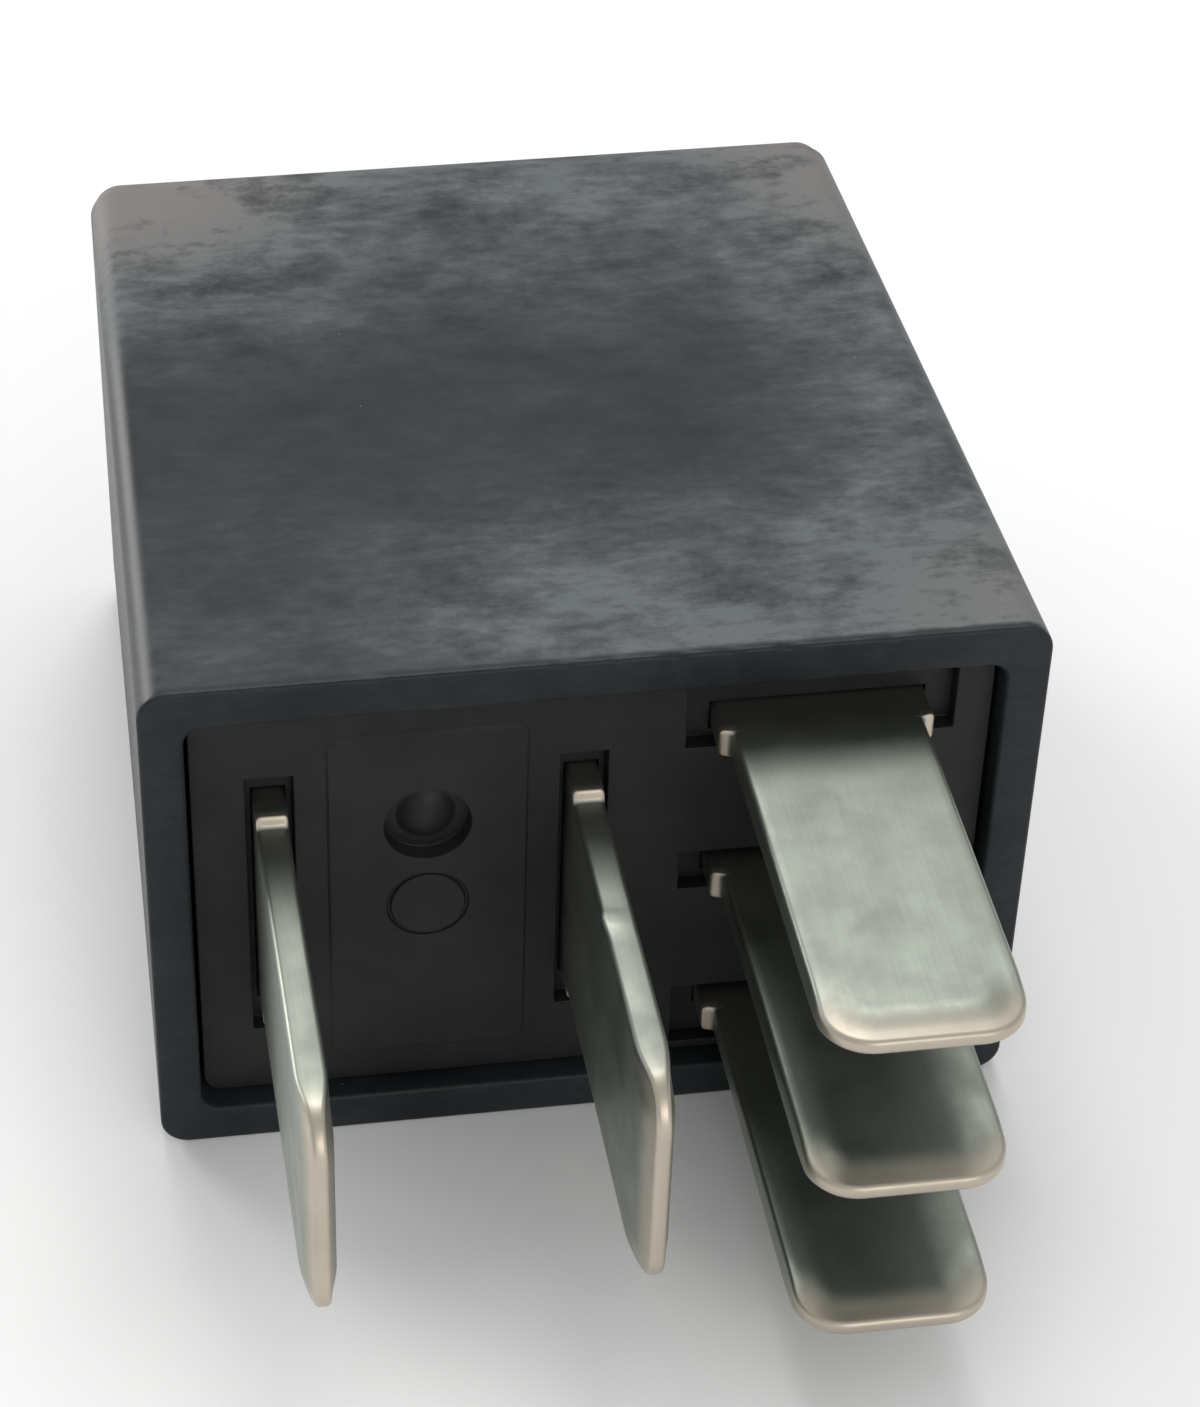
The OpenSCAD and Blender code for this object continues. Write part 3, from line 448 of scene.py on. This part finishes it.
def inside(h, widen=0.0):
    inset = cover_wall + lean(h) - widen
    return rounded_rectangle(half_w - inset, half_d - inset, cavity_corner_r, rim_y + h)


def arc(steps):
    return [math.radians(90 * i / steps) for i in range(steps + 1)]


cavity_top = cover_h - cover_end
edge_h = cover_h - end_edge_r
bevel_h = edge_h - end_bevel_l
cover_loops = [inside(h) for h in (cavity_top, cavity_top - 0.3, 8, 2, 0.4)]
cover_loops += [inside(rim_edge_r * (1 - math.sin(a)), rim_edge_r * (1 - math.cos(a))) for a in arc(3)]
first_outer = len(cover_loops)
cover_loops += [outside(rim_edge_r * (1 - math.cos(a)), edge=rim_edge_r * (1 - math.sin(a))) for a in arc(4)]
cover_loops += [outside(rim_edge_r + 0.1), outside(0.35), outside(0.6), outside(1)]
wall_steps = 18
cover_loops += [outside(1 + (bevel_h - 1.3) * (k / wall_steps)) for k in range(1, wall_steps + 1)]
cover_loops += [outside(bevel_h - 0.1), outside(bevel_h)]
cover_loops += [outside(edge_h, end_bevel_in)]
cover_loops += [outside(edge_h + end_edge_r * math.sin(a), end_bevel_in, end_edge_r * (1 - math.cos(a)))
                for a in arc(10)[1:]]

# %% Cover mesh
# Place across the relay, depth and width of each nick
nicks = [(-0.9, 0.10, 0.16), (0.4, 0.07, 0.12), (1.8, 0.13, 0.22), (3.1, 0.08, 0.3), (4.6, 0.12, 0.2),
         (7.2, 0.06, 0.2), (-5.6, 0.05, 0.2)]


def moulded(point):
    """Sinks the flat outer faces a little, and nicks the upper edge of the rim."""
    x, y, z = point
    h = y - rim_y
    along = max(0, math.sin(math.pi * min(1, h / bevel_h))) ** 0.7
    flat_x, flat_z = half_w - lean(h), half_d - lean(h)
    across_x, across_z = x / flat_x, (z - middle_z) / flat_z
    if abs(across_z) > 0.995:
        z -= math.copysign(face_sink * along * (1 - across_x ** 4), across_z)
    if abs(across_x) > 0.997:
        x -= math.copysign(face_sink * along * (1 - across_z ** 4), across_x)
    if h < 0.36 and across_z > 0.95:
        depth = sum(deep * math.exp(-((x - at) / wide) ** 2) for at, deep, wide in nicks)
        depth += 0.025 * max(0, noise.noise(Vector((x * 2.1, 0, 4))))
        z -= depth * (1 - smooth_step(h, 0, 0.35))
        y += 0.6 * depth * (1 - smooth_step(h, 0, 0.35))
    return x, y, z


cover_work = bmesh.new()
loops = cover_loops[:first_outer] + [[moulded(p) for p in loop] for loop in cover_loops[first_outer:]]
cover_verts = loft(cover_work, loops)
cover_work.faces.new(cover_verts[0])

# %% [markdown]
# The closed end carries the mark of the gate, the point where the plastic flowed in: a shallow round
# dish with a small stub in it. The last loop of the outside is led into a circle for that.

# %% Gate mark
gate_r, gate_depth, stub_r = 0.9, 0.12, 0.3


def circle_like(loop, r, y):
    """A circle in the middle of the end with as many points as the loop, at the loop's own angles."""
    angles = [math.atan2(z - middle_z, x) for x, _, z in loop]
    return [(r * math.cos(a), y, middle_z + r * math.sin(a)) for a in angles]


end_loop = loops[-1]
gate_loops = [end_loop, circle_like(end_loop, gate_r + 0.3, end_y), circle_like(end_loop, gate_r, end_y),
              circle_like(end_loop, gate_r - 0.1, end_y - gate_depth),
              circle_like(end_loop, stub_r + 0.05, end_y - gate_depth),
              circle_like(end_loop, stub_r, end_y - 0.4 * gate_depth)]
gate_verts = loft(cover_work, gate_loops)
cover_work.faces.new(gate_verts[-1])
bmesh.ops.remove_doubles(cover_work, verts=cover_work.verts, dist=0.001 * MM)

# %% [markdown]
# Last comes the dust and painted sheen that the finish reads. This is real dust together with a lighter tone
# that stands in for light reflected off the upper face. It is thick at the far left, thinner along the
# near and right edges, and thin in the middle. The sides and the rim are nearly clean.

# %% Dust and painted sheen
CLEAN_DUST_AND_SHEEN = 0.05


def dust_and_sheen_at(x, h, upper):
    """How thick the dust and painted sheen lie at x and at height h above the rim, from 0 to 1."""
    far = smooth_step(h, 12, 25) * (0.5 + 0.5 * (1 - smooth_step(x, -10, -1)))
    near = (1 - smooth_step(h, 1, 10)) * (0.12 + 0.42 * smooth_step(x, -8, 1))
    right = 0.42 * smooth_step(x, 4.5, 11) * (1 - near)
    return min(1, 0.07 + far + near + right) if upper else CLEAN_DUST_AND_SHEEN


# Each vertex gets the share of dust and painted sheen. The sheen is painted only on the upper face, where the
# light falls.
dust_and_sheen_layer = cover_work.verts.layers.float.new("dust_and_sheen")
for vert in cover_work.verts:
    x, y, z = vert.co / MM
    h = y - rim_y
    upper = z > middle_z + half_d - lean(h) - 0.6 and h > 0.3
    vert[dust_and_sheen_layer] = dust_and_sheen_at(x, h, upper)
to_object("moulded_cover", cover_work, cover_plastic, "cover_plastic", "cover", sharp=50)

# %% [markdown]
# ## Base
# The base is a plug with wells round the blade roots, a vent with a small dome, and the ring that an
# ejector pin leaves. Its CAD solid has all of that, so the piece is a refined copy: only its edges
# are softened, as moulded edges are.

# %% Base
refined("moulded_base", "base", base_plastic, "base_plastic", 0.04, 2)

# %% [markdown]
# ## Blades
# A blade is stamped from tinned strip. The punch rounds its long edges slightly, and a second stroke
# coins the tip, so that it slides into its socket: the coined band follows the tip round its corners
# and dies out along the sides. To model that, the outline of the blade is drawn once, and a profile
# is swept along it: up from the middle of the edge, round the corner, over the coined band and on
# to the flat. The flats are then closed across.

# %% Blade
BLADE_T = 0.8
EDGE_R = 0.13
TIP_R = 1.2
COIN_L, COIN_T = 0.95, 0.2
ROOT_EXTRA, ROOT_REACH = 0.3, 0.1
INTO_BASE = 1.3


def blade_outline(width, reach):
    """Stations down the left side, round the tip and up the right side: (u, v, inward direction)."""
    half = width / 2
    side = [-INTO_BASE, -0.6, -0.2, 0, 0.03, 0.06, 0.09, 0.13, 0.2, 0.5, 1]
    tip_start = reach - TIP_R
    side += [1 + (tip_start - 1) * k / 30 for k in range(1, 31)]

    def half_at(v):
        return half + ROOT_EXTRA * (1 - smooth_step(v, ROOT_REACH - 0.08, ROOT_REACH + 0.04))

    left = [(-half_at(v), v, (1, 0)) for v in side]
    corner = []
    for k in range(1, 13):
        a = math.radians(180 - 90 * k / 12)
        corner.append((-half + TIP_R + TIP_R * math.cos(a), tip_start + TIP_R * math.sin(a),
                       (-math.cos(a), -math.sin(a))))
    flat = [((half - TIP_R) * (2 * k / 8 - 1), reach, (0, -1)) for k in range(1, 8)]
    mirrored = [(-u, v, (-du, dv)) for u, v, (du, dv) in reversed(left + corner)]
    return left + corner + flat + mirrored, len(left)


def blade(name, node, width, reach, middle, flat_axis, dents=()):
    """A blade whose flat side faces along flat_axis: "z" for the stacked ones, "x" for the power blades."""
    outline, side_count = blade_outline(width, reach)
    half_t = BLADE_T / 2
    insets = [0] + [EDGE_R * (1 - math.cos(a)) for a in arc(4)[1:]] + [0.3, 0.45, 0.6, 0.75, 0.9, 1.05]

    def height(inset, v):
        near_tip = smooth_step(v, reach - TIP_R - 0.9, reach - 0.35)
        top = half_t - COIN_T * near_tip * (1 - smooth_step(inset, 0.05, COIN_L))
        if inset >= EDGE_R:
            return top
        return top - EDGE_R + math.sqrt(EDGE_R ** 2 - (EDGE_R - inset) ** 2)

    def place(u, v, w):
        for at_u, at_v, at_w, size, spread in dents:
            near = math.exp(-((u - at_u) ** 2 + (v - at_v) ** 2 + (w - at_w) ** 2) / spread ** 2)
            u += math.copysign(size * near, u)
            w += math.copysign(size * near, w)
        if flat_axis == "z":
            return middle.x + u, rim_y - v, middle.z + w
        return middle.x + w, rim_y - v, middle.z + u

    rows = []
    for u, v, (du, dv) in outline:
        upper = [place(u + du * i, v + dv * i, height(i, v)) for i in reversed(insets)]
        lower = [place(u + du * i, v + dv * i, -height(i, v)) for i in insets]
        rows.append(upper + lower)
    work = bmesh.new()
    bare_and_reflection = work.verts.layers.float.new("bare_and_reflection")
    verts = loft(work, rows, closed=False)
    # The cut shoulders are marked as bare metal. The coined tips and their end faces get a painted pinkish
    # reflection and highlight.
    for (u, v, _), row in zip(outline, verts):
        shoulder = abs(u) > width / 2 + 0.02 and -0.05 < v < 0.14
        near_tip = smooth_step(v, reach - TIP_R - 0.6, reach - 0.4)
        for vert, inset in zip(row, insets[::-1] + insets):
            coined = near_tip * (1 - smooth_step(inset, 0.1, COIN_L))
            vert[bare_and_reflection] = 0.9 if shoulder and inset < 0.35 else 0.75 * coined
    last = len(rows[0]) - 1
    for k, turned in ((0, False), (last, True)):
        for i in range(side_count - 1):
            j = len(verts) - 1 - i
            quad = [verts[i][k], verts[i + 1][k], verts[j - 1][k], verts[j][k]]
            work.faces.new(quad if turned else quad[::-1])
        tip = [verts[i][k] for i in range(side_count - 1, len(verts) - side_count + 1)]
        work.faces.new(tip if turned else tip[::-1])
    work.faces.new(verts[0] + verts[-1][::-1])
    inner = joined_faces(node)
    cut_y = (rim_y + INTO_BASE - 0.02) * MM
    whole = inner.verts[:] + inner.edges[:] + inner.faces[:]
    bmesh.ops.bisect_plane(inner, geom=whole,
                           plane_co=(0, cut_y, 0), plane_no=(0, -1, 0), clear_outer=True)
    open_edges = [e for e in inner.edges if e.is_boundary]
    bmesh.ops.holes_fill(inner, edges=open_edges)
    soften(inner, 0.06)
    rest = bpy.data.meshes.new("inner part")
    inner.to_mesh(rest)
    inner.free()
    work.from_mesh(rest)
    bpy.data.meshes.remove(rest)
    return to_object(name, work, tinned_blade, "tinned_blade", node)


POWER_W, STACK_W = 6.3, 4.8
POWER_REACH, STACK_REACH = 10.9, 11.3
STACK_X, STACK_PITCH = 5.7, 4.6
power_places = {"terminal_30": -8.08, "terminal_87": -0.22}
stack_places = {"terminal_86": middle_z + STACK_PITCH, "terminal_87a": middle_z,
                "terminal_85": middle_z - STACK_PITCH}
burr_size, burr_spread = 0.07, 0.28
burr = (POWER_W / 2, 4.5, -BLADE_T / 2, burr_size, burr_spread)
for node, x in power_places.items():
    blade("blade_" + node[9:], node, POWER_W, POWER_REACH, Vector((x, 0, middle_z)), "x",
          (burr,) if node == "terminal_87" else ())
for node, z in stack_places.items():
    blade("blade_" + node[9:], node, STACK_W, STACK_REACH, Vector((STACK_X, 0, z)), "z")

# %% [markdown]
# ## Magnet
# The inside never shows while the relay is closed, but it is a real relay, so it is finished too. The
# iron is punched plate with softly rolled edges. The core is turned. The bobbin is moulded nylon. All
# of these keep their CAD shape and only get real edges.

# %% Magnet
refined("iron_yoke", "yoke", iron, "iron", 0.08, 3)
refined("iron_core", "core", iron, "iron", 0.06)
refined("coil_bobbin", "bobbin", bobbin_plastic, "bobbin_plastic", 0.06)
refined("iron_armature", "armature", iron, "iron", 0.08, 3, body="armature")

# %% [markdown]
# ## Winding
# A relay coil is wound turn by turn and layer on layer, so its outside is one long shallow screw
# thread. A torus for each turn would be a heap of rings. A thread is lofted instead: each loop goes
# once round the core, and its points climb by one wire between start and end, so that the ridges
# join up into a helix. At both ends the layers show as fine rings.

# %% Winding
WIRE_D = 0.2
RIDGE = 0.035
ROUND_STEPS = 96
wound_low, wound_high = (Vector(c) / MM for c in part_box("coil_winding"))
winding_r = (wound_high.x - wound_low.x) / 2
winding_axis = (wound_low + wound_high) / 2
winding_inner_r = 3.02
WINDING_EDGE_R = 0.3


def ridge(phase):
    """How far the surface lies under the crest of a wire, at a phase counted in wires."""
    return RIDGE * (1 - math.sqrt(max(0, 1 - (2 * (phase % 1) - 1) ** 2)))


def winding_loop(r, y, thread):
    """One loop round the core. Its ridges come from thread, a function of the angle's share of a turn."""
    loop = []
    for i in range(ROUND_STEPS):
        share = i / ROUND_STEPS
        dr, dy = thread(share)
        a = 2 * math.pi * share
        loop.append((winding_axis.x + (r + dr) * math.cos(a), y + dy,
                     winding_axis.z + (r + dr) * math.sin(a)))
    return loop


def screw_thread(y):
    return lambda share: (-ridge(y / WIRE_D + share), 0)


def layer_rings(r, side):
    return lambda share: (0, -side * ridge(r / WIRE_D))


winding_loops = []
ends = ((wound_low.y, -1), (wound_high.y, 1))
radial = [winding_inner_r + (winding_r - WINDING_EDGE_R - winding_inner_r) * k / 48 for k in range(49)]
for y_end, side in ends:
    face = [winding_loop(r, y_end, layer_rings(r, side)) for r in radial]
    edge = [winding_loop(winding_r - WINDING_EDGE_R * (1 - math.sin(a)),
                         y_end - side * WINDING_EDGE_R * (1 - math.cos(a)), screw_thread(y_end))
            for a in arc(4)[1:-1]]
    winding_loops.append(face + edge)
flank_low, flank_high = wound_low.y + WINDING_EDGE_R, wound_high.y - WINDING_EDGE_R
turns = (flank_high - flank_low) / WIRE_D
flank_steps = round(6 * turns)
flank_heights = [flank_low + (flank_high - flank_low) * k / flank_steps for k in range(flank_steps + 1)]
flank = [winding_loop(winding_r, y, screw_thread(y)) for y in flank_heights]
winding_work = bmesh.new()
wound = loft(winding_work, winding_loops[0] + flank + winding_loops[1][::-1])
for i in range(ROUND_STEPS):
    j = (i + 1) % ROUND_STEPS
    winding_work.faces.new((wound[-1][i], wound[-1][j], wound[0][j], wound[0][i]))
print(f"The winding shows {turns:.0f} turns of {WIRE_D} mm wire")
to_object("copper_winding", winding_work, enamelled_copper, "enamelled_copper", "coil_winding", sharp=60)

# %% [markdown]
# The two ends of the wire run straight to their posts, where a drop of solder holds them.

# %% Leads and solder
for number in ("86", "85"):
    refined("coil_lead_wire_" + number, "coil_lead_" + number, enamelled_copper, "enamelled_copper", 0.02)
    refined("solder_drop_" + number, "solder_joint_" + number, solder, "solder", 0.03)

# %% [markdown]
# ## Spring and contacts
# The leaf spring is the one piece that belongs to two bodies: its leg is riveted to the yoke, and its
# blade to the armature. In between it bends. So it rides on neither body.

# %% Spring
leaf_spring = refined("leaf_spring", "contact_spring", spring_bronze, "spring_bronze", 0.04, body=None)
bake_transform(leaf_spring)

# %% [markdown]
# Contacts and rivets are turned or headed parts. They keep their CAD shape, and only their edges are
# rounded. What moves rides on the armature.

# %% Contacts and rivets
refined("moving_contact_rivet", "moving_contact", contact_silver, "contact_silver", 0.06, 3, body="armature")
refined("fixed_contact_rivet_no", "fixed_contact_no", contact_silver, "contact_silver", 0.06, 3)
refined("fixed_contact_rivet_nc", "fixed_contact_nc", contact_silver, "contact_silver", 0.06, 3)
refined("rivets_on_armature", "armature_rivets", rivet_steel, "rivet_steel", 0.06, body="armature")
refined("rivets_on_yoke", "yoke_rivets", rivet_steel, "rivet_steel", 0.06)
